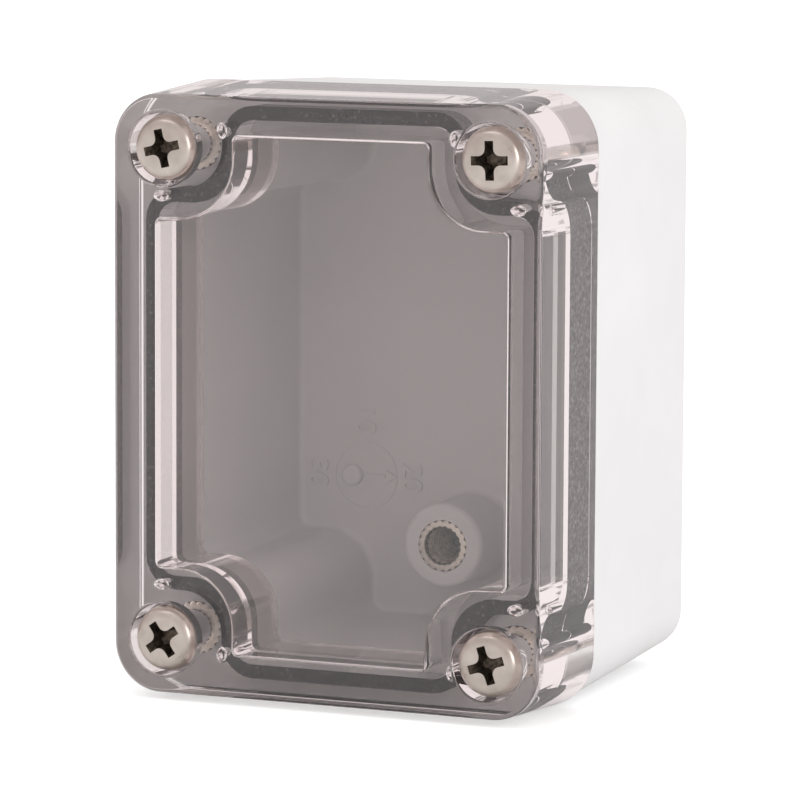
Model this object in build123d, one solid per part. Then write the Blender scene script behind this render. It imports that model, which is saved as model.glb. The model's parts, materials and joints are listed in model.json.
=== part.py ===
from build123d import *

import os
from math import atan, degrees

# A small waterproof enclosure: a drafted box with a thick clear cover, a seal that runs round the
# corner posts, four captive pan head screws, and knurled inserts moulded into the box.
# Everything is drawn as the enclosure lies on its back: X is its width, Y its height and Z its depth,
# with the outer back face at Z = 0. Each piece is stood up on its lower wall as its file is written,
# so the finished part has +Z up, its cover facing -Y, and its origin under the middle of its outline.
# All sizes are in millimetres and all angles in degrees.

# Outer form
width = 50.0
height = 65.0
box_depth = 31.0
cover_depth = 13.9
joint_gap = 0.1
corner_radius = 6.0
box_taper = 1.3
cover_taper = 0.8
box_step = 0.2
back_edge_radius = 0.9
front_edge_radius = 0.5

# Cover screws stand this far in from the two nearest sides
screw_inset = 6.5

# The window is the inner outline of the cover, with a rounded corner cut away for each screw
window_inset = 4.9
window_screw_reach = 7.3
window_screw_radius = 6.1
window_corner_radius = 0.8
window_plate = 2.2
window_edge_radius = 0.4
lip_drop = 0.3

# The seal lies in a groove of the cover, at a constant distance outside the window
groove_inner = 1.25
groove_outer = 2.75
groove_depth = 5.5
seal_thickness = 1.5
seal_side_clearance = 0.05

# Small recesses in the ceiling of the groove, two beside each screw
pin_recess_radius = 0.6
pin_recess_depth = 3.2
pin_recess_outward = 1.8

# The box: its tongue stands in the groove of the cover
tongue_side_clearance = 0.12
floor_thickness = 3.0
floor_edge_radius = 0.7
inner_draft = 0.4

# Wells and holes for the screws in the cover
well_radius = 3.85
well_depth = 3.1
well_edge_radius = 0.3
screw_hole_radius = 2.25

# Cover screws, with their cross recesses turned as they stopped
screw_core_radius = 1.58
screw_length = 20.0
screw_tip_chamfer = 0.5
head_radius = 3.5
head_height = 2.6
head_flat_radius = 2.3
head_side_height = 0.9
recess_span = 4.1
recess_wing = 0.95
recess_depth = 2.0
recess_root_radius = 0.7
recess_bottom_share = 0.5
recess_turns = {"top_left": 13, "top_right": 2, "bottom_left": 35, "bottom_right": 18}

# Rubber washer under each screw head
washer_outer_radius = 3.3
washer_inner_radius = 1.75
washer_thickness = 0.7

# Knurled threaded inserts
insert_radius = 2.85
insert_length = 8.0
insert_bore_radius = 1.65
insert_mouth_chamfer = 0.4
knurl_teeth = 20
knurl_depth = 0.25
insert_groove_width = 1.4
insert_groove_depth = 0.5
insert_pocket_clearance = 0.02
tip_room_radius = 2.0
tip_room_depth = 1.5

# Boss on the floor for a circuit board or plate
boss_from_lower_wall = 13.2
boss_radius = 4.7
boss_height = 9.0
boss_edge_radius = 0.6
boss_root_radius = 0.8

# Pilot holes in the back for wall brackets
bracket_hole_radius = 1.6
bracket_hole_depth = 9.0
bracket_hole_inset = 7.5

# Mould marks on the floor: a raised circle and the stub of the gate
dial_from_left_wall = 11.8
dial_from_lower_wall = 19.1
dial_radius = 3.9
dial_line = 0.3
dial_relief = 0.15
gate_offset = 1.5
gate_radius = 1.2
gate_height = 0.8

# Sizes that follow
cover_back = box_depth + joint_gap
front_plane = cover_back + cover_depth
groove_ceiling = cover_back + groove_depth
seal_underside = groove_ceiling - seal_thickness
tongue_inner = groove_inner + tongue_side_clearance
tongue_outer = groove_outer - tongue_side_clearance
well_floor = front_plane - well_depth
head_seat = well_floor + washer_thickness
overall_depth = max(front_plane, head_seat + head_height)
boss_y = boss_from_lower_wall - height / 2
boss_top = floor_thickness + boss_height
screw_x = width / 2 - screw_inset
screw_y = height / 2 - screw_inset
screw_places = {
    "top_left": (-screw_x, screw_y),
    "top_right": (screw_x, screw_y),
    "bottom_left": (-screw_x, -screw_y),
    "bottom_right": (screw_x, -screw_y),
}


def scalloped(distance, screw_radius):
    """A rectangle at a distance outside the window, with a rounded piece cut away for each screw."""
    half_x = width / 2 - window_inset + distance
    half_y = height / 2 - window_inset + distance
    outline = Rectangle(2 * half_x, 2 * half_y)
    cut = 4 * window_screw_reach
    out = cut / 2 - window_screw_reach + distance
    for x, y in screw_places.values():
        centre_x = x + out * (1 if x > 0 else -1)
        centre_y = y + out * (1 if y > 0 else -1)
        outline -= Pos(centre_x, centre_y) * RectangleRounded(cut, cut, screw_radius)

    def on_side(vertex):
        return abs(abs(vertex.X) - half_x) < 0.001 or abs(abs(vertex.Y) - half_y) < 0.001

    return fillet(outline.vertices().filter_by(on_side), window_corner_radius + distance)


def window_grown(distance):
    """The window outline moved outwards by a distance."""
    return scalloped(distance, window_screw_radius - distance)


def grown_round_screws(distance):
    """The same, but round about the axis of each screw, as the outer side of the groove is."""
    return scalloped(distance, window_screw_reach - distance)


def prism(outline, bottom, top):
    """An outline raised from one height to another."""
    return extrude(Pos(0, 0, bottom) * outline, top - bottom)


def band(inner, outer, bottom, top):
    """A closed wall between two distances outside the window, with room for the screws outside it."""
    return prism(grown_round_screws(outer), bottom, top) - prism(window_grown(inner), bottom, top)


def drafted_block(inset, taper, wide_end, narrow_end):
    """The outer form between two heights, drawn in by the taper towards its narrow end."""
    outline = RectangleRounded(width - 2 * inset, height - 2 * inset, corner_radius - inset)
    length = narrow_end - wide_end
    return extrude(Pos(0, 0, wide_end) * outline, length, taper=degrees(atan(taper / abs(length))))


def box_body():
    """The moulded box, with its posts, tongue, floor boss, pockets and mould marks."""
    body = drafted_block(box_step, box_taper, box_depth, 0)
    body = fillet(body.faces().sort_by(Axis.Z)[0].edges(), back_edge_radius)
    body += band(tongue_inner, tongue_outer, box_depth - tongue_side_clearance, seal_underside)

    cavity_mouth = Pos(0, 0, seal_underside) * window_grown(tongue_inner)
    cavity = extrude(cavity_mouth, floor_thickness - seal_underside, taper=inner_draft)
    cavity = fillet(cavity.faces().sort_by(Axis.Z)[0].edges(), floor_edge_radius)
    body -= cavity

    body += Pos(0, boss_y, 0) * floor_boss()
    body += mould_marks()
    body -= insert_pocket(0, boss_y, boss_top)
    for x, y in screw_places.values():
        body -= insert_pocket(x, y, box_depth)
    for side_x in (-1, 1):
        for side_y in (-1, 1):
            x = side_x * (width / 2 - bracket_hole_inset)
            y = side_y * (height / 2 - bracket_hole_inset)
            body -= Pos(x, y, 0) * prism(Circle(bracket_hole_radius), 0, bracket_hole_depth)
    return body


def floor_boss():
    """A round boss with a softened rim and a wide root, standing on the floor."""
    root = boss_radius + boss_root_radius
    buried = floor_thickness / 2
    shoulder = boss_top - boss_edge_radius
    outline = [
        Polyline((0, boss_top), (0, buried), (root, buried), (root, floor_thickness)),
        RadiusArc(
            (root, floor_thickness), (boss_radius, floor_thickness + boss_root_radius), boss_root_radius
        ),
        Line((boss_radius, floor_thickness + boss_root_radius), (boss_radius, shoulder)),
        RadiusArc((boss_radius, shoulder), (boss_radius - boss_edge_radius, boss_top), -boss_edge_radius),
        Line((boss_radius - boss_edge_radius, boss_top), (0, boss_top)),
    ]
    return revolve(Plane.XZ * make_face(outline), Axis.Z)


def insert_pocket(x, y, mouth):
    """The pocket that an insert is moulded into, with room behind it for the tip of a screw."""
    pocket_end = mouth - insert_length
    pocket = prism(Circle(insert_radius + insert_pocket_clearance), pocket_end, mouth)
    pocket += prism(Circle(tip_room_radius), pocket_end - tip_room_depth, pocket_end)
    return Pos(x, y, 0) * pocket


def mould_marks():
    """A raised circle on the floor, with the stub of the gate beside its middle."""
    x = dial_from_left_wall - width / 2
    y = dial_from_lower_wall - height / 2
    top = floor_thickness + dial_relief
    marks = prism(Circle(dial_radius) - Circle(dial_radius - dial_line), floor_thickness / 2, top)
    stub = extrude(
        Pos(-gate_offset, 0, floor_thickness + gate_height) * Circle(gate_radius),
        -gate_height - floor_thickness / 2,
    )
    stub = fillet(stub.edges().sort_by(Axis.Z)[-1], gate_radius / 3)
    return Pos(x, y, 0) * (marks + stub)


def cover_body():
    """The clear cover: a solid rim and corners, hollowed behind the window and grooved for the seal."""
    body = drafted_block(0, cover_taper, cover_back, front_plane)
    body = fillet(body.faces().sort_by(Axis.Z)[-1].edges(), front_edge_radius)
    lip_end = cover_back - lip_drop
    body += prism(window_grown(groove_inner), lip_end, front_plane - window_plate)
    cavity = prism(window_grown(0), lip_end, front_plane - window_plate)
    cavity = fillet(cavity.faces().sort_by(Axis.Z)[-1].edges(), window_edge_radius)
    body -= cavity
    body -= band(groove_inner, groove_outer, cover_back, groove_ceiling)
    for x, y in screw_places.values():
        body -= Pos(x, y, 0) * screw_well()
        body -= pin_recesses(x, y)
    return body


def screw_well():
    """The well for a screw head, with a rounded rim, and the hole for the shank."""
    rim = well_radius + well_edge_radius
    outline = [
        Polyline(
            (0, front_plane),
            (0, cover_back),
            (screw_hole_radius, cover_back),
            (screw_hole_radius, well_floor),
            (well_radius, well_floor),
            (well_radius, front_plane - well_edge_radius),
        ),
        RadiusArc((well_radius, front_plane - well_edge_radius), (rim, front_plane), well_edge_radius),
        Line((rim, front_plane), (0, front_plane)),
    ]
    return revolve(Plane.XZ * make_face(outline), Axis.Z)


def pin_recesses(x, y):
    """Two small round-ended recesses in the ceiling of the groove, beside one screw."""
    inward_x = 1 if x < 0 else -1
    inward_y = 1 if y < 0 else -1
    along = window_screw_reach - (groove_inner + groove_outer) / 2
    recess = prism(Circle(pin_recess_radius), groove_ceiling, groove_ceiling + pin_recess_depth)
    recess = fillet(recess.edges().sort_by(Axis.Z)[-1], 0.9 * pin_recess_radius)
    first = Pos(x + inward_x * along, y - inward_y * pin_recess_outward, 0) * recess
    second = Pos(x - inward_x * pin_recess_outward, y + inward_y * along, 0) * recess
    return first + second


def seal_ring():
    """The seal, pressed between the ceiling of the groove and the tongue of the box."""
    inner = groove_inner + seal_side_clearance
    outer = groove_outer - seal_side_clearance
    return band(inner, outer, seal_underside, groove_ceiling)


def cross_outline(share):
    """The outline of the cross recess, shrunk by a share of its size."""
    wing = recess_wing * (0.5 + 0.5 * share)
    span = recess_span * share
    outline = Rectangle(span, wing) + Rectangle(wing, span)

    def at_root(vertex):
        return max(abs(vertex.X), abs(vertex.Y)) < wing

    return fillet(outline.vertices().filter_by(at_root), recess_root_radius * share)


def screw_body():
    """A pan head screw with its seat at Z = 0 and its shank below, drawn at the core of its thread."""
    outline = [
        Polyline(
            (0, head_height),
            (0, -screw_length),
            (screw_core_radius - screw_tip_chamfer, -screw_length),
            (screw_core_radius, screw_tip_chamfer - screw_length),
            (screw_core_radius, 0),
            (head_radius, 0),
            (head_radius, head_side_height),
        ),
        EllipticalCenterArc(
            (head_flat_radius, head_side_height),
            head_radius - head_flat_radius,
            head_height - head_side_height,
            start_angle=0,
            arc_size=90,
        ),
        Line((head_flat_radius, head_height), (0, head_height)),
    ]
    body = revolve(Plane.XZ * make_face(outline), Axis.Z)
    mouth = Pos(0, 0, head_height) * cross_outline(1.0)
    bottom = Pos(0, 0, head_height - recess_depth) * cross_outline(recess_bottom_share)
    return body - loft([bottom, mouth])


def washer_body():
    """A flat rubber washer lying on Z = 0."""
    return prism(Circle(washer_outer_radius) - Circle(washer_inner_radius), 0, washer_thickness)


def insert_body():
    """A knurled insert with its mouth at Z = 0, and a plain groove round its middle."""
    section = Circle(insert_radius)
    for tooth in range(knurl_teeth):
        notch = Pos(insert_radius, 0) * Rot(0, 0, 45) * Rectangle(knurl_depth * 2**0.5, knurl_depth * 2**0.5)
        section -= Rot(0, 0, 360 / knurl_teeth * tooth) * notch
    body = prism(section, -insert_length, 0)
    groove_bottom = -(insert_length + insert_groove_width) / 2
    groove = Circle(2 * insert_radius) - Circle(insert_radius - insert_groove_depth)
    body -= prism(groove, groove_bottom, groove_bottom + insert_groove_width)
    body -= prism(Circle(insert_bore_radius), -insert_length, 0)
    rim = body.edges().filter_by(GeomType.CIRCLE).filter_by(is_bore_mouth)
    return chamfer(rim, insert_mouth_chamfer)


def is_bore_mouth(edge):
    return abs(edge.radius - insert_bore_radius) < 0.001 and abs(edge.center().Z) < 0.001


def write(name, shape):
    """Stands the piece up on its lower wall and writes its file."""
    standing = Pos(0, overall_depth / 2, height / 2) * Rot(90, 0, 0) * shape
    standing.label = name
    export_step(standing, os.path.join("parts", name + ".step"))


def main():
    os.makedirs("parts", exist_ok=True)
    write("box", box_body())
    write("clear_cover", cover_body())
    write("seal", seal_ring())
    screw = screw_body()
    washer = washer_body()
    insert = insert_body()
    for corner, (x, y) in screw_places.items():
        write("cover_screw_" + corner, Pos(x, y, head_seat) * Rot(0, 0, recess_turns[corner]) * screw)
        write("screw_washer_" + corner, Pos(x, y, well_floor) * washer)
        write("screw_insert_" + corner, Pos(x, y, box_depth) * insert)
    write("floor_insert", Pos(0, boss_y, boss_top) * insert)


main()
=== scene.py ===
import json
from math import cos, hypot, pi, radians, sin

import bmesh
import bpy
from mathutils import Matrix, Vector

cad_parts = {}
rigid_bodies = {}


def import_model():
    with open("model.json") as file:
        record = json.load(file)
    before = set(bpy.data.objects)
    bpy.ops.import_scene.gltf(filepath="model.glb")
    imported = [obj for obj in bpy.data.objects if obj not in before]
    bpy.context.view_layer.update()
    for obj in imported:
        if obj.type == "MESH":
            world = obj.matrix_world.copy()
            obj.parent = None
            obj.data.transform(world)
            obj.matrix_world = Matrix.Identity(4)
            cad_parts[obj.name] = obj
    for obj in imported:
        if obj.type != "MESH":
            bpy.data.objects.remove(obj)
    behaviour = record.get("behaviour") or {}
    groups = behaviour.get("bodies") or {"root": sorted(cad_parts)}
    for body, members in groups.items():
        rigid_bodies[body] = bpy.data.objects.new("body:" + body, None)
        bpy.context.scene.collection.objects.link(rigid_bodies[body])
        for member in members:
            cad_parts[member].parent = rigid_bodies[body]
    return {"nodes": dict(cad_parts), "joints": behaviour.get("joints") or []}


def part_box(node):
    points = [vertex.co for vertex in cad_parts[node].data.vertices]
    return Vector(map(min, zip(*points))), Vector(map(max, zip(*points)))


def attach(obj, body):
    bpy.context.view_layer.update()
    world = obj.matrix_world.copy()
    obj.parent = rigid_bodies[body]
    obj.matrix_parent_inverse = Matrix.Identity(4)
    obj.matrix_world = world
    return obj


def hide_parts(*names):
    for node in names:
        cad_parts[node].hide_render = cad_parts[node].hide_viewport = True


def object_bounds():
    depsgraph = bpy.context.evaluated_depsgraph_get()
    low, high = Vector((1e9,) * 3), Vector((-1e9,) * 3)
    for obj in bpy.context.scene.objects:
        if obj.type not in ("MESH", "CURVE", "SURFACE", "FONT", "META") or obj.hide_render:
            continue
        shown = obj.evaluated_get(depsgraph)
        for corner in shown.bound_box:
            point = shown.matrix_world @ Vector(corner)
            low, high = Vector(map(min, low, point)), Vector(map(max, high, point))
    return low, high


bpy.ops.object.select_all(action="SELECT")
bpy.ops.object.delete()
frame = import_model()
bpy.ops.object.select_all(action="DESELECT")
model_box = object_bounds()


# ---------------------------------------------------------------------------------------------
# Box. Injection moulded in light grey ABS, with a fine matt grain outside and in. Its walls,
# tongue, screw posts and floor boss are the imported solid, which stays as it is.

abs_colour = (0.80, 0.79, 0.795)
abs_shade = (0.76, 0.75, 0.755)
abs_grain_scale = 5200.0
abs_grain_height = 0.00002
abs_flow_scale = 60.0


class Wire:
    """An output of a node that takes part in sums as a number does."""

    def __init__(self, finish, socket):
        self.finish = finish
        self.socket = socket

    def maths(self, operation, first, second):
        return self.finish.node("Math", {"operation": operation}, {0: first, 1: second})

    def __add__(self, other):
        return self.maths("ADD", self, other)

    def __rsub__(self, other):
        return self.maths("SUBTRACT", other, self)

    def __mul__(self, other):
        return self.maths("MULTIPLY", self, other)

    __radd__ = __add__
    __rmul__ = __mul__


class Finish:
    """A material for one kind of surface, built node by node."""

    def __init__(self, name, tree=None):
        self.tree = tree
        if tree is None:
            self.material = bpy.data.materials.new(name)
            self.material.use_nodes = True
            self.tree = self.material.node_tree
        self.tree.nodes.clear()

    def node(self, kind, settings=None, sockets=None, output=0):
        """Adds a node, with its settings first and then the values or links of its sockets."""
        made = self.tree.nodes.new("ShaderNode" + kind)
        for key, value in (settings or {}).items():
            if key == "stops":
                self.set_stops(made.color_ramp, value)
            else:
                setattr(made, key, value)
        for key, value in (sockets or {}).items():
            if isinstance(value, Wire):
                self.tree.links.new(value.socket, made.inputs[key])
            elif made.inputs[key].type == "RGBA":
                made.inputs[key].default_value = (*value, 1.0)
            else:
                made.inputs[key].default_value = value
        return Wire(self, made.outputs[output]) if made.outputs else None

    def set_stops(self, ramp, stops):
        while len(ramp.elements) < len(stops):
            ramp.elements.new(0.5)
        for element, (place, colour) in zip(ramp.elements, stops):
            element.position = place
            element.color = (*colour, 1.0) if isinstance(colour, tuple) else (colour,) * 3 + (1.0,)

    def noise(self, scale, detail=2.0):
        """Cloudy noise on the piece itself, with its features about 1 / scale metres wide."""
        place = self.node("TexCoord", output="Object")
        return self.node("TexNoise", {}, {"Vector": place, "Scale": scale, "Detail": detail})

    def ramp(self, value, stops):
        return self.node("ValToRGB", {"stops": stops}, {"Fac": value})

    def bump(self, height, distance, strength):
        return self.node("Bump", {}, {"Height": height, "Distance": distance, "Strength": strength})

    def mix(self, share, first, second):
        return self.node("MixShader", {}, {0: share, 1: first, 2: second})

    def surface(self, sockets):
        shader = self.node("BsdfPrincipled", {}, sockets)
        self.node("OutputMaterial", {}, {"Surface": shader})
        return self.material


def mottled(name, cloud_scale, cloud_detail, stops, roughness, relief, metallic=0.0):
    """A finish in which one cloud sets colour, roughness and relief, from a base and a spread
    for the roughness, and a height and a strength for the relief."""
    finish = Finish(name)
    cloud = finish.noise(cloud_scale, cloud_detail)
    return finish.surface({
        "Base Color": finish.ramp(cloud, stops),
        "Metallic": metallic,
        "Roughness": roughness[0] + roughness[1] * cloud,
        "Normal": finish.bump(cloud, *relief),
    })


abs_finish = Finish("light_grey_abs_moulded")
flow = abs_finish.noise(abs_flow_scale, 3.0)
grain = abs_finish.noise(abs_grain_scale)
moulded_abs = abs_finish.surface({
    "Base Color": abs_finish.ramp(flow, [(0.35, abs_shade), (0.65, abs_colour)]),
    "Roughness": 0.34 + 0.1 * flow + 0.08 * grain,
    "Normal": abs_finish.bump(grain, abs_grain_height, 0.5),
})
box = frame["nodes"]["box"]
box.data.materials.clear()
box.data.materials.append(moulded_abs)


# ---------------------------------------------------------------------------------------------
# Threaded inserts. Knurled brass, five alike, moulded in with their rims flush: one in each screw
# post and one in the floor boss, whose empty thread shows through the cover.

mm = 0.001
back = model_box[1][1] / mm
middle_height = (model_box[0][2] + model_box[1][2]) / 2 / mm
insert_radius = 2.85
insert_length = 8.0
insert_lobes = 20
insert_lobe_depth = 0.22
lobe_points = 6
lobe_shoulder = 0.42
insert_groove = (3.3, 4.7, 2.35)
insert_rim = 0.96
insert_rim_height = 0.05
insert_mouth = 0.12
insert_mouth_depth = 0.15
insert_bore_radius = 2.12
insert_shadow_radius = insert_bore_radius + 0.02
insert_thread_root = insert_bore_radius + 0.05
insert_thread_radius = 1.72
insert_thread_start = -0.7
insert_thread_turns = 9
thread_pitch = 0.7
thread_widths = {"root": 0.84 * thread_pitch, "crest": 0.16 * thread_pitch}
steps_per_turn = 32
post_top = 31.0
boss_top = 12.0
tiny = 0.0001
origin = (0, 0, 0)


def at_depth(depth):
    """The place along the row's Y of a depth that is measured from the back of the enclosure."""
    return back - depth


def only(*pieces):
    bpy.ops.object.select_all(action="DESELECT")
    for piece in pieces:
        piece.select_set(True)
    bpy.context.view_layer.objects.active = pieces[0]


def named(name):
    piece = bpy.context.active_object
    piece.name = name
    piece.data.name = name
    bpy.ops.object.transform_apply(location=True, rotation=True, scale=True)
    return piece


def edit(piece):
    only(piece)
    bpy.ops.object.mode_set(mode="EDIT")
    bpy.ops.mesh.select_mode(type="VERT")
    bpy.ops.mesh.select_all(action="SELECT")


def pick(kind, test, along_depth=False, by_middle=False):
    """Selects the points, edges or faces whose every point, or whose middle, passes the test."""
    bpy.ops.mesh.select_mode(type={"verts": "VERT", "edges": "EDGE", "faces": "FACE"}[kind])
    bpy.ops.mesh.select_all(action="DESELECT")
    mesh = bmesh.from_edit_mesh(bpy.context.edit_object.data)
    for item in getattr(mesh, kind):
        points = [item.co] if kind == "verts" else [corner.co for corner in item.verts]
        if along_depth and abs(points[0].y - points[-1].y) < tiny:
            continue
        if by_middle:
            points = [sum(points, Vector()) / len(points)]
        if all(test(point) for point in points):
            item.select_set(True)
    if kind == "verts":
        mesh.select_flush(True)
    bmesh.update_edit_mesh(bpy.context.edit_object.data)


def stretch(factors, centre):
    bpy.ops.transform.resize(value=factors, center_override=centre)


def shift(x, y):
    bpy.ops.transform.translate(value=(x, y, 0))


def extrude(x, y):
    bpy.ops.mesh.extrude_region_move(TRANSFORM_OT_translate={"value": (x, y, 0)})


def step(factor):
    """Extrudes what is selected within its plane, to a part of its size about the row's Y."""
    bpy.ops.mesh.extrude_region_move()
    stretch((factor, 1, factor), origin)


def outwards():
    """Closes doubled points and turns every face outwards, then leaves edit mode."""
    bpy.ops.mesh.select_all(action="SELECT")
    bpy.ops.mesh.remove_doubles(threshold=tiny)
    bpy.ops.mesh.normals_make_consistent(inside=False)
    bpy.ops.object.mode_set(mode="OBJECT")


def arc(centre, radius, start, end, steps):
    """Points of a profile on a quarter or less of a circle, from one angle to another."""
    turn = (end - start) / steps
    angles = [radians(start + turn * count) for count in range(steps + 1)]
    return [(centre[0] + radius * cos(one), centre[1] + radius * sin(one)) for one in angles]


def turned(name, profile, steps):
    """Spins a profile of (radius, depth) once round the row's Y, as on a lathe."""
    bpy.ops.mesh.primitive_plane_add(size=1)
    piece = named(name)
    edit(piece)
    bpy.ops.mesh.merge(type="CENTER")
    reached, *others = profile
    shift(reached[0], at_depth(reached[1]))
    for radius, depth in others:
        extrude(radius - reached[0], reached[1] - depth)
        reached = (radius, depth)
    bpy.ops.mesh.select_all(action="SELECT")
    bpy.ops.mesh.spin(steps=steps, angle=2 * pi, center=origin, axis=(0, 1, 0))
    outwards()
    return piece


def thread(name, core, crest, start, turns):
    """A helical ridge from one radius to another, closed at both ends, that starts at a depth."""
    bpy.ops.mesh.primitive_plane_add(size=1)
    piece = named(name)
    edit(piece)
    for side, width in ((-1, thread_widths["root"]), (1, thread_widths["crest"])):
        pick("verts", lambda point: point.x * side > 0)
        stretch((1, width, 1), origin)
    bpy.ops.mesh.select_all(action="SELECT")
    stretch((crest - core, 1, 1), origin)
    shift((core + crest) / 2, at_depth(start))
    bpy.ops.mesh.delete(type="ONLY_FACE")
    bpy.ops.object.mode_set(mode="OBJECT")
    spiral = piece.modifiers.new("spiral", "SCREW")
    spiral.axis = "Y"
    spiral.screw_offset = thread_pitch
    spiral.angle = 2 * pi
    spiral.iterations = turns
    spiral.steps = spiral.render_steps = steps_per_turn
    bpy.ops.object.modifier_apply(modifier=spiral.name)
    edit(piece)
    bpy.ops.mesh.fill_holes(sides=0)
    outwards()
    return piece


def joined(first, *others):
    only(first, *others)
    bpy.ops.object.join()
    return first


def copied(piece, name):
    """A copy with a mesh of its own."""
    twin = bpy.data.objects.new(name, piece.data.copy())
    twin.data.name = name
    bpy.context.scene.collection.objects.link(twin)
    return twin


def moved(piece, x, y, z):
    piece.location = (x, y, z)
    only(piece)
    bpy.ops.object.transform_apply(location=True, rotation=True, scale=True)
    return piece


def fitted(piece, finish, body, slot, *nodes, crease=35):
    """Brings a piece to metres, smooths it, gives it a finish unless it has one, and fixes it."""
    piece.scale = (mm, mm, mm)
    only(piece)
    bpy.ops.object.transform_apply(location=True, rotation=True, scale=True)
    bpy.ops.object.shade_smooth_by_angle(angle=radians(crease))
    even = piece.modifiers.new("even_shading", "WEIGHTED_NORMAL")
    even.keep_sharp = True
    bpy.ops.object.modifier_apply(modifier=even.name)
    if finish:
        piece.data.materials.clear()
        piece.data.materials.append(finish)
    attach(piece, body)
    if nodes:
        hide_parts(*nodes)


def insert_blank(name):
    """A knurled sleeve with rounded lobes, a plain groove and a bore, its mouth at depth 0."""
    bpy.ops.mesh.primitive_circle_add(
        vertices=insert_lobes * lobe_points, radius=insert_radius, rotation=(pi / 2, 0, 0),
    )
    piece = named(name)
    edit(piece)
    for points, share in (((0,), 1.0), ((1, lobe_points - 1), lobe_shoulder)):
        bpy.ops.mesh.select_all(action="DESELECT")
        mesh = bmesh.from_edit_mesh(piece.data)
        for corner in mesh.verts:
            corner.select = corner.index % lobe_points in points
        mesh.select_flush_mode()
        bmesh.update_edit_mesh(piece.data)
        inwards = 1 - insert_lobe_depth * share / insert_radius
        stretch((inwards, 1, inwards), origin)
    groove_near, groove_far, groove_radius = insert_groove
    bpy.ops.mesh.select_all(action="SELECT")
    extrude(0, groove_near)
    step(groove_radius / insert_radius)
    extrude(0, groove_far - groove_near)
    step(insert_radius / groove_radius)
    extrude(0, insert_length - groove_far)
    step(insert_bore_radius / insert_radius)
    # The rim at the mouth stands a little proud, and leads into the bore with a chamfer
    pick("verts", lambda point: abs(point.y) < tiny
         and hypot(point.x, point.z) > insert_bore_radius)
    step(insert_rim)
    shift(0, -insert_rim_height)
    step((insert_bore_radius + insert_mouth) / (insert_radius * insert_rim))
    step(insert_bore_radius / (insert_bore_radius + insert_mouth))
    shift(0, insert_mouth_depth)
    bpy.ops.mesh.select_all(action="DESELECT")
    bpy.ops.mesh.select_non_manifold()
    bpy.ops.mesh.bridge_edge_loops()
    outwards()
    return moved(piece, 0, back, 0)


brass_finish = Finish("nickel_plated_brass")
brass_cloud = brass_finish.noise(900.0, 3.0)
brass_colours = [(0.3, (0.74, 0.68, 0.60)), (0.7, (0.86, 0.81, 0.73))]
brass = brass_finish.surface({
    "Base Color": brass_finish.ramp(brass_cloud, brass_colours),
    "Metallic": 0.7,
    "Roughness": 0.30 + 0.15 * brass_cloud,
    "Normal": brass_finish.bump(brass_finish.noise(9000.0), 0.00001, 0.4),
})
bore_brass = mottled(
    "brass_in_shadow", 1800.0, 3.0, [(0.3, (0.16, 0.135, 0.115)), (0.7, (0.38, 0.34, 0.30))],
    roughness=(0.35, 0.15), relief=(0.00001, 0.4), metallic=0.8,
)

insert = insert_blank("insert_blank")
inside_thread = thread(
    "inside_thread", insert_thread_root, insert_thread_radius,
    insert_thread_start, insert_thread_turns,
)
insert = joined(insert, inside_thread)
insert.data.materials.append(brass)
insert.data.materials.append(bore_brass)
for face in insert.data.polygons:
    in_shadow = hypot(face.center.x, face.center.z) < insert_shadow_radius
    face.material_index = 1 if in_shadow else 0
screw_axes = {
    joint["name"].replace("screw_turn_", ""): (joint["pos_m"][0] / mm, joint["pos_m"][2] / mm)
    for joint in frame["joints"] if joint["name"].startswith("screw_turn_")
}
boss_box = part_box("floor_insert")
boss_axis = ((boss_box[0].x + boss_box[1].x) / 2 / mm, (boss_box[0].z + boss_box[1].z) / 2 / mm)
insert_places = {
    "screw_insert_" + corner: (*axis, post_top) for corner, axis in screw_axes.items()
}
insert_places["floor_insert"] = (*boss_axis, boss_top)
for node, (x, z, mouth_depth) in insert_places.items():
    sleeve = moved(copied(insert, node + "_sleeve"), x, -mouth_depth, z)
    fitted(sleeve, None, "box", "insert_brass", node)
bpy.data.objects.remove(insert)


# ---------------------------------------------------------------------------------------------
# Mould marks. Plain figures and an arrow stand 0.3 mm proud of the floor, round the raised circle
# and gate stub of the box. They are part of the same moulding.

floor_depth = 3.0
dial_middle = (-13.2, 19.1)
mark_height = 0.3
mark_plane = at_depth(floor_depth) + mark_height
figure_size = 3.4
figure_places = {"10": (-0.1, 6.3), "20": (5.6, 0.0), "30": (-5.9, 0.0)}
figure_stroke = 0.05
arrow_head_radius = 0.9
arrow_head_reach = 3.0
arrow_stem_size = (2.4, 0.5)
arrow_stem_reach = 1.3


def on_dial(x, z):
    return (dial_middle[0] + x, mark_plane, dial_middle[1] + z)


def raised(name):
    """Gives a flat outline its height, with as much again sunk in the floor, as part of the box."""
    bpy.ops.object.convert(target="MESH")
    piece = named(name)
    edit(piece)
    bpy.ops.mesh.remove_doubles(threshold=tiny)
    extrude(0, -2 * mark_height)
    outwards()
    fitted(piece, moulded_abs, "box", "light_grey_abs")


for figure, (x, z) in figure_places.items():
    bpy.ops.object.text_add(location=on_dial(x, z), rotation=(pi / 2, pi / 2, 0))
    letter = bpy.context.active_object
    letter.data.body = figure
    letter.data.size = figure_size
    letter.data.offset = figure_stroke
    letter.data.align_x = "CENTER"
    letter.data.align_y = "CENTER"
    raised("mould_figure_" + figure)
bpy.ops.mesh.primitive_circle_add(
    vertices=3, radius=arrow_head_radius, fill_type="NGON", rotation=(pi / 2, -pi / 6, 0),
    location=on_dial(arrow_head_reach, 0),
)
raised("mould_arrow_head")
bpy.ops.mesh.primitive_plane_add(
    size=1, rotation=(pi / 2, 0, 0), location=on_dial(arrow_stem_reach, 0),
)
bpy.context.active_object.scale = (*arrow_stem_size, 1)
raised("mould_arrow_stem")


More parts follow.
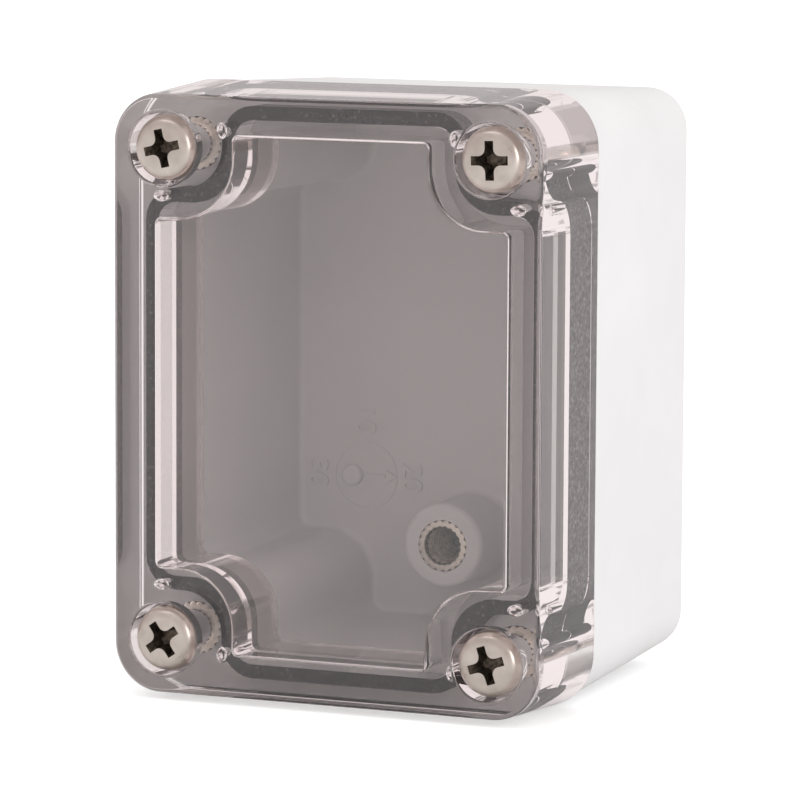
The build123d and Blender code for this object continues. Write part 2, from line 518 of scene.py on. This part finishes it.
# ---------------------------------------------------------------------------------------------
# Seal. Dark grey foam, one closed ring in the groove of the cover, round the corner posts. The
# tongue of the box presses it flat and squeezes it down the groove's outer side, where it clings.

window_half = (20.1, 27.6)
screw_axis = (18.5, 26.0)
screw_reach = 7.3
window_hollow_radius = 6.1
window_point_radius = 0.8
cover_back = 31.1
groove_ceiling = cover_back + 5.5
groove_edges = (1.25, 2.75)
seal_underside = groove_ceiling - 1.5
seal_skirt_end = cover_back + 0.15
seal_cling = 0.02
seal_air_gap = 0.05
tongue_outer = 2.65
tool_overrun = 2.0


def round_off(radius, segments):
    bpy.ops.mesh.bevel(
        offset=radius, segments=segments, profile=0.5, affect="EDGES", clamp_overlap=False,
    )


def along(axis, factor):
    """Factors that stretch one axis alone, 0 for X and 2 for Z."""
    return tuple(factor if index == axis else 1 for index in range(3))


def flat_cross(name, depth, height, arms, reach):
    """A flat cross at a depth and a height, from the half widths and half lengths of its arms."""
    centre = (0, at_depth(depth), height)
    bpy.ops.mesh.primitive_grid_add(
        x_subdivisions=3, y_subdivisions=3, size=2, rotation=(pi / 2, 0, 0), location=centre,
    )
    piece = named(name)
    edit(piece)
    for axis, arm, end in ((0, arms[0], reach[0]), (2, arms[1], reach[1])):
        pick("verts", lambda point: abs(point[axis] - centre[axis]) < 0.5)
        stretch(along(axis, 3 * arm), centre)
        pick("verts", lambda point: abs(abs(point[axis] - centre[axis]) - 1) < tiny)
        stretch(along(axis, end), centre)
    pick("faces", lambda point: abs(point.x) > arms[0] and abs(point.z - height) > arms[1],
         by_middle=True)
    bpy.ops.mesh.delete(type="FACE")
    bpy.ops.mesh.select_all(action="SELECT")
    return piece


def without_seams():
    """Turns every face outwards, and makes one face of those that lie in a plane."""
    bpy.ops.mesh.select_all(action="SELECT")
    bpy.ops.mesh.normals_make_consistent(inside=False)
    bpy.ops.mesh.dissolve_limited(angle_limit=radians(1))


def window_block(name, grown, deep, shallow, rounding=0.0, round_screws=False):
    """A solid between two depths, with the window's outline grown, or also round each screw."""
    half = (window_half[0] + grown, window_half[1] + grown)
    cut = (screw_axis[0] - screw_reach + grown, screw_axis[1] - screw_reach + grown)
    piece = flat_cross(name, deep, middle_height, cut, half)
    extrude(0, deep - shallow)
    without_seams()

    def stands_at(x, z):
        return lambda point: (abs(abs(point.x) - x) < tiny
                              and abs(abs(point.z - middle_height) - z) < tiny)

    pick("edges", stands_at(*cut), along_depth=True)
    round_off((screw_reach if round_screws else window_hollow_radius) - grown, segments=14)
    for x, z in ((half[0], cut[1]), (cut[0], half[1])):
        pick("edges", stands_at(x, z), along_depth=True)
        round_off(window_point_radius + grown, segments=6)
    if rounding:
        pick("faces", lambda point: abs(point.y - at_depth(shallow)) < tiny)
        bpy.ops.mesh.region_to_loop()
        round_off(rounding, segments=4)
    outwards()
    return piece


def combined(piece, tool, operation):
    """Joins a tool to a piece, or cuts the piece with it, and uses the tool up."""
    change = piece.modifiers.new("change", "BOOLEAN")
    change.operation = operation
    change.solver = "EXACT"
    change.material_mode = "TRANSFER"
    change.object = tool
    only(piece)
    bpy.ops.object.modifier_apply(modifier=change.name)
    bpy.data.objects.remove(tool)


def foam_surface(name, cells, skin, specks):
    return mottled(
        name, 2600.0, 4.0, [(0.35, cells), (0.62, skin), (0.68, specks)],
        roughness=(0.75, 0.2), relief=(0.00006, 0.6),
    )


# Two copies of one foam: a darker one with painted shade for the flat faces, and a lighter one with
# painted light for the upright faces
foam_painted_shade = foam_surface(
    "seal_foam_skin", (0.018, 0.012, 0.0145), (0.052, 0.038, 0.044), (0.15, 0.13, 0.135),
)
foam_painted_light = foam_surface(
    "seal_foam_side", (0.145, 0.125, 0.133), (0.285, 0.258, 0.266), (0.42, 0.40, 0.40),
)
seal = window_block(
    "seal_ring", groove_edges[1] + seal_cling, seal_skirt_end, groove_ceiling - seal_air_gap,
    round_screws=True,
)
combined(seal, window_block(
    "room_for_tongue", tongue_outer, cover_back - tool_overrun, seal_underside, round_screws=True,
), "DIFFERENCE")
combined(seal, window_block(
    "inside_of_seal", groove_edges[0] + seal_air_gap,
    cover_back - tool_overrun, groove_ceiling + tool_overrun,
), "DIFFERENCE")
seal.data.materials.clear()
seal.data.materials.append(foam_painted_shade)
seal.data.materials.append(foam_painted_light)
# One foam in two copies: the flat faces get the darker copy, its own dark grey with painted shade,
# and the upright ones the lighter copy, painted light from the side
for face in seal.data.polygons:
    face.material_index = 0 if abs(face.normal.y) > 0.7 else 1
fitted(seal, None, "cover", "seal_foam", "seal")


# ---------------------------------------------------------------------------------------------
# Clear cover. Moulded in one piece from clear polycarbonate: a solid rim with a well for each
# screw, a thick front plate, and an inner lip that stands behind the seal groove.

cover_half = (25.0, 32.5)
cover_corner_radius = 6.0
cover_taper = 0.8
cover_land = 0.3
front_plane = 45.0
front_edge_radius = 0.5
back_edge_radius = 0.12
window_plate = 2.2
window_edge_radius = 0.4
lip_end = cover_back - 0.3
well_floor = front_plane - 3.1
well_radius = 3.85
well_edge_radius = 0.3
well_root = 0.2
screw_hole_radius = 2.25
pin_recess_radius = 0.6
pin_recess_rounding = 0.54
pin_recess_start = groove_ceiling - 0.05
pin_recess_end = groove_ceiling + 3.2
pin_recess_outward = 1.8
pin_recess_stretch = 1.5

# The slab: a straight land at the joint, then drafted to the front
bpy.ops.mesh.primitive_cube_add(
    size=1, location=(0, at_depth(cover_back + cover_land / 2), middle_height),
)
bpy.context.active_object.scale = (2 * cover_half[0], cover_land, 2 * cover_half[1])
cover = named("clear_cover_moulding")
edit(cover)
pick("edges", lambda point: True, along_depth=True)
round_off(cover_corner_radius, segments=16)
pick("faces", lambda point: point.y < at_depth(cover_back + cover_land) + tiny)
bpy.ops.mesh.inset(thickness=cover_taper, depth=front_plane - cover_back - cover_land)
bpy.ops.mesh.region_to_loop()
round_off(front_edge_radius, segments=6)
pick("faces", lambda point: point.y > at_depth(cover_back) - tiny)
bpy.ops.mesh.region_to_loop()
round_off(back_edge_radius, segments=3)
outwards()

# The groove from the back, the inner wall beside it, and the hollow behind the window
combined(cover, window_block(
    "groove", groove_edges[1], cover_back - tool_overrun, groove_ceiling, round_screws=True,
), "DIFFERENCE")
combined(cover, window_block(
    "inner_wall", groove_edges[0], lip_end, groove_ceiling + tool_overrun,
), "UNION")
combined(cover, window_block(
    "hollow", 0.0, lip_end - tool_overrun, front_plane - window_plate, window_edge_radius,
), "DIFFERENCE")

# A well for each screw, with a pin recess on either side of it, above the groove
rim_centre = (well_radius + well_edge_radius, front_plane - well_edge_radius)
well = turned("well", [
    (0, cover_back - tool_overrun), (screw_hole_radius, cover_back - tool_overrun),
    (screw_hole_radius, well_floor), (well_radius - well_root, well_floor),
    (well_radius, well_floor + well_root), *arc(rim_centre, well_edge_radius, 180, 90, 5),
    (rim_centre[0], front_plane + tool_overrun), (0, front_plane + tool_overrun),
], steps=96)
pin_end_centre = (pin_recess_radius - pin_recess_rounding, pin_recess_end - pin_recess_rounding)
pin_recess = turned("pin_recess", [
    (0, pin_recess_start), (pin_recess_radius, pin_recess_start),
    *arc(pin_end_centre, pin_recess_rounding, 0, 90, 5), (0, pin_recess_end),
], steps=32)
along_groove = screw_reach - sum(groove_edges) / 2
for x, z in screw_axes.values():
    inward_x = -1 if x > 0 else 1
    inward_z = -1 if z > middle_height else 1
    combined(cover, moved(copied(well, "well_here"), x, 0, z), "DIFFERENCE")
    pin_steps = ((along_groove, -pin_recess_outward, 2), (-pin_recess_outward, along_groove, 0))
    for step_x, step_z, long_axis in pin_steps:
        here = copied(pin_recess, "pin_recess_here")
        here.scale = along(long_axis, pin_recess_stretch)
        moved(here, x + inward_x * step_x, 0, z + inward_z * step_z)
        combined(cover, here, "DIFFERENCE")
bpy.data.objects.remove(well)
bpy.data.objects.remove(pin_recess)

black = (0.0, 0.0, 0.0)
clear_tint = (0.985, 0.93, 0.925)
clear_index = 1.58
clear_shade = 0.42
most_mirrorings = 3.5
painted_rim_glow = (0.46, 0.42, 0.42)

clear_finish = Finish("clear_polycarbonate_moulded")
smudge = clear_finish.noise(90.0, 4.0)
lamp_ray = clear_finish.node("LightPath", output="Is Shadow Ray")
mirrorings = clear_finish.node("LightPath", output="Glossy Depth")
# Where light has been mirrored inside the rim too often to follow, the cover turns black and glows
# with painted light in the room's pale instead
lost = mirrorings.maths("GREATER_THAN", mirrorings, most_mirrorings)
clear = clear_finish.surface({
    "Base Color": clear_finish.ramp(lost, [(0.4, clear_tint), (0.6, black)]),
    "Emission Color": clear_finish.ramp(lost, [(0.4, black), (0.6, painted_rim_glow)]),
    "Emission Strength": 1.0,
    "Transmission Weight": 1.0,
    "IOR": clear_index,
    "Roughness": clear_finish.ramp(smudge, [(0.45, 0.0), (0.8, 0.03)]),
    "Alpha": 1 - clear_shade * lamp_ray,
})
fitted(cover, clear, "cover", "clear_polycarbonate", "clear_cover", crease=30)


# ---------------------------------------------------------------------------------------------
# Washers. A soft grey rubber ring under each screw head, which seals the screw hole. Each lies on
# the floor of its well and goes up and down with its screw.

washer_radii = (1.75, 3.3)
washer_thickness = 0.7
washer_edge = 0.12
washer_lift = 0.02

rubber = mottled(
    "washer_rubber_skin", 1500.0, 3.0, [(0.4, (0.34, 0.32, 0.315)), (0.75, (0.42, 0.40, 0.395))],
    roughness=(0.55, 0.2), relief=(0.00002, 0.5),
)
low = well_floor + washer_lift + washer_edge
high = well_floor + washer_thickness - washer_lift - washer_edge
inner, outer = washer_radii[0] + washer_edge, washer_radii[1] - washer_edge
washer = turned("washer", [
    (inner, low - washer_edge), *arc((outer, low), washer_edge, -90, 0, 3),
    *arc((outer, high), washer_edge, 0, 90, 3), *arc((inner, high), washer_edge, 90, 180, 3),
    *arc((inner, low), washer_edge, 180, 270, 3),
], steps=64)
for corner, (x, z) in screw_axes.items():
    ring = moved(copied(washer, "washer_ring_" + corner), x, 0, z)
    fitted(ring, rubber, "washer_" + corner, "washer_rubber", "screw_washer_" + corner)
bpy.data.objects.remove(washer)


# ---------------------------------------------------------------------------------------------
# Cover screws. Stainless pan heads with a cross recess, turned and rolled with an M4 thread, and
# left at the angle at which each of them stopped.

head_seat = well_floor + washer_thickness
head_radius = 3.5
head_height = 2.6
head_side = 0.9
head_foot = 0.12
crown_radius = 2.3
crown_drop = 0.06
shank_radius = 1.58
shank_point = 0.5
shank_neck = 0.15
thread_root = shank_radius - 0.1
thread_radius = 1.98
thread_start = 10.0
thread_turns = 13
screw_length = 20.0
cross_span = 4.1
cross_wing = 0.95
cross_depth = 2.0
cross_root = 0.75
cross_floor = {"span": 0.5, "wing": 0.75}
cross_above = 0.4
cross_turns = {"top_left": 13, "top_right": 2, "bottom_left": 35, "bottom_right": 18}

steel_finish = Finish("stainless_satin")
steel_cloud = steel_finish.noise(500.0, 3.0)
steel_scuffs = steel_finish.noise(5000.0, 3.0)
steel_colours = [(0.3, (0.53, 0.465, 0.415)), (0.7, (0.68, 0.61, 0.555))]
steel = steel_finish.surface({
    "Base Color": steel_finish.ramp(steel_cloud, steel_colours),
    "Metallic": 1.0,
    "Roughness": 0.20 + 0.12 * steel_cloud + 0.08 * steel_scuffs,
    "Normal": steel_finish.bump(steel_scuffs, 0.00001, 0.5),
})
# The cross recess gets painted shade: dark steel, mottled with lighter painted glints
recess_painted_shade = mottled(
    "stainless_in_shadow", 2500.0, 3.0,
    [(0.35, (0.055, 0.040, 0.030)), (0.75, (0.22, 0.18, 0.14))],
    roughness=(0.30, 0.2), relief=(0.00003, 0.5), metallic=0.8,
)


def cross_tool():
    """A tapered cross that cuts the driver recess, drawn round the row's Y."""
    # It starts above the head, a little wider, so that it has its named size at the head's top
    span = cross_span / 2 * (1 + cross_above / cross_depth / 2)
    wing = cross_wing / 2 * (1 + cross_above / cross_depth / 4)
    mouth = head_seat + head_height + cross_above
    tool = flat_cross("cross_tool", mouth, 0, (wing, wing), (span, span))
    extrude(0, cross_above + cross_depth)
    floor = at_depth(head_seat + head_height - cross_depth)
    for axis in (0, 2):
        pick("verts", lambda point: point.y > floor - tiny and abs(point[axis]) > wing + tiny)
        stretch(along(axis, cross_floor["span"] * cross_span / 2 / span), (0, floor, 0))
        pick("verts", lambda point: point.y > floor - tiny
             and abs(abs(point[axis]) - wing) < tiny)
        stretch(along(axis, cross_floor["wing"] * cross_wing / 2 / wing), (0, floor, 0))
    without_seams()
    pick("edges", lambda point: abs(abs(point.x) - abs(point.z)) < tiny, along_depth=True)
    round_off(cross_root, segments=5)
    outwards()
    # The recess faces carry the painted shade and painted glints into the screw head
    tool.data.materials.append(recess_painted_shade)
    return tool


head_top = head_seat + head_height
crown_rise = head_height - crown_drop - head_side
head_side_points = [
    (crown_radius + (head_radius - crown_radius) * cos(turn),
     head_seat + head_side + crown_rise * sin(turn))
    for turn in map(radians, range(0, 91, 9))
]
tip = head_seat - screw_length
screw = turned("screw", [
    (0, tip), (shank_radius - shank_point, tip), (shank_radius, tip + shank_point),
    (shank_radius, head_seat - shank_neck), (shank_radius + shank_neck, head_seat),
    (head_radius - head_foot, head_seat), (head_radius, head_seat + head_foot),
    *head_side_points, (crown_radius / 2, head_top - crown_drop / 4), (0, head_top),
], steps=96)
screw.data.materials.append(steel)
combined(screw, cross_tool(), "DIFFERENCE")
screw_thread = thread(
    "screw_thread", thread_root, thread_radius, head_seat - thread_start, thread_turns,
)
screw_thread.data.materials.append(steel)
screw = joined(screw, screw_thread)
for corner, (x, z) in screw_axes.items():
    here = copied(screw, "pan_head_screw_" + corner)
    here.rotation_euler = (0, -radians(cross_turns[corner]), 0)
    moved(here, x, 0, z)
    fitted(here, None, "screw_" + corner, "stainless", "cover_screw_" + corner)
bpy.data.objects.remove(screw)


# ---------------------------------------------------------------------------------------------
# Studio. A white sweep, two soft lamps and a pale room, photographed from the right and slightly
# above through a long lens.

camera_place = Vector((0.212158, -0.493636, 0.098141))
camera_yaw = 0.407580
camera_pitch = 0.125301
camera_roll = 0.0048655
camera_lens = 226.23
camera_sensor = 36.0

forward = Vector((
    -sin(camera_yaw) * cos(camera_pitch), cos(camera_yaw) * cos(camera_pitch), -sin(camera_pitch),
))
level_right = Vector((cos(camera_yaw), sin(camera_yaw), 0))
level_up = level_right.cross(forward)
right = cos(camera_roll) * level_right + sin(camera_roll) * level_up
up = cos(camera_roll) * level_up - sin(camera_roll) * level_right
bpy.ops.object.camera_add(location=camera_place)
camera = bpy.context.active_object
camera.rotation_euler = Matrix((right, up, -forward)).transposed().to_euler()
camera.data.sensor_width = camera_sensor
camera.data.lens = camera_lens
camera.data.clip_start = 0.01
scene = bpy.context.scene
scene.camera = camera
scene.view_settings.view_transform = "Standard"


def soft_lamp(name, place, size, power):
    """A square soft box that faces the middle of the enclosure."""
    bpy.ops.object.light_add(type="AREA", location=place)
    lamp = bpy.context.active_object
    lamp.name = name
    lamp.data.size = size
    lamp.data.energy = power
    target = Vector((0, 0, middle_height * mm))
    lamp.rotation_euler = (target - lamp.location).to_track_quat("-Z", "Y").to_euler()


soft_lamp("key_lamp", (0.90, -0.30, 0.30), 0.5, 2.2)
soft_lamp("top_lamp", (-0.25, -0.15, 0.95), 0.6, 0.8)

world = bpy.data.worlds.new("pale_room")
scene.world = world
world.use_nodes = True
room = Finish("pale_room", world.node_tree)


def background(colour, strength=1.0):
    return room.node("Background", {}, {"Color": colour, "Strength": strength})


camera_ray = room.node("LightPath", output="Is Camera Ray")
glossy_ray = room.node("LightPath", output="Is Glossy Ray")
through_ray = room.node("LightPath", output="Is Transmission Ray")
scattered = room.node("LightPath", output="Diffuse Depth")
# 1 for what the camera sees, also in metal or through the cover, and 0 for light on a surface
seen = (camera_ray + glossy_ray + through_ray) * scattered.maths("LESS_THAN", scattered, 0.5)
lighting = background((1.0, 0.99, 0.985), 0.98)
seen_plainly = background((1.0, 1.0, 1.0))
seen_through_cover = background((0.55, 0.51, 0.505))
seen_in_metal = background((0.74, 0.70, 0.695))
shown = room.mix(through_ray, seen_in_metal, seen_through_cover)
shown = room.mix(camera_ray, shown, seen_plainly)
shown = room.mix(seen, lighting, shown)
room.node("OutputWorld", {}, {"Surface": shown})

sweep_finish = Finish("white_sweep")
sweep_seen = sweep_finish.node("LightPath", output="Is Camera Ray")
paper = sweep_finish.node("BsdfDiffuse", {}, {"Color": (0.85, 0.85, 0.85)})
glow = sweep_finish.node("Emission", {}, {"Color": (1, 1, 1), "Strength": 0.45})
bright = sweep_finish.node("AddShader", {}, {0: paper, 1: glow})
sweep_shown = sweep_finish.mix(sweep_seen, paper, bright)
sweep_finish.node("OutputMaterial", {}, {"Surface": sweep_shown})
bpy.ops.mesh.primitive_plane_add(size=30, location=origin)
sweep = named("sweep")
sweep.data.materials.append(sweep_finish.material)
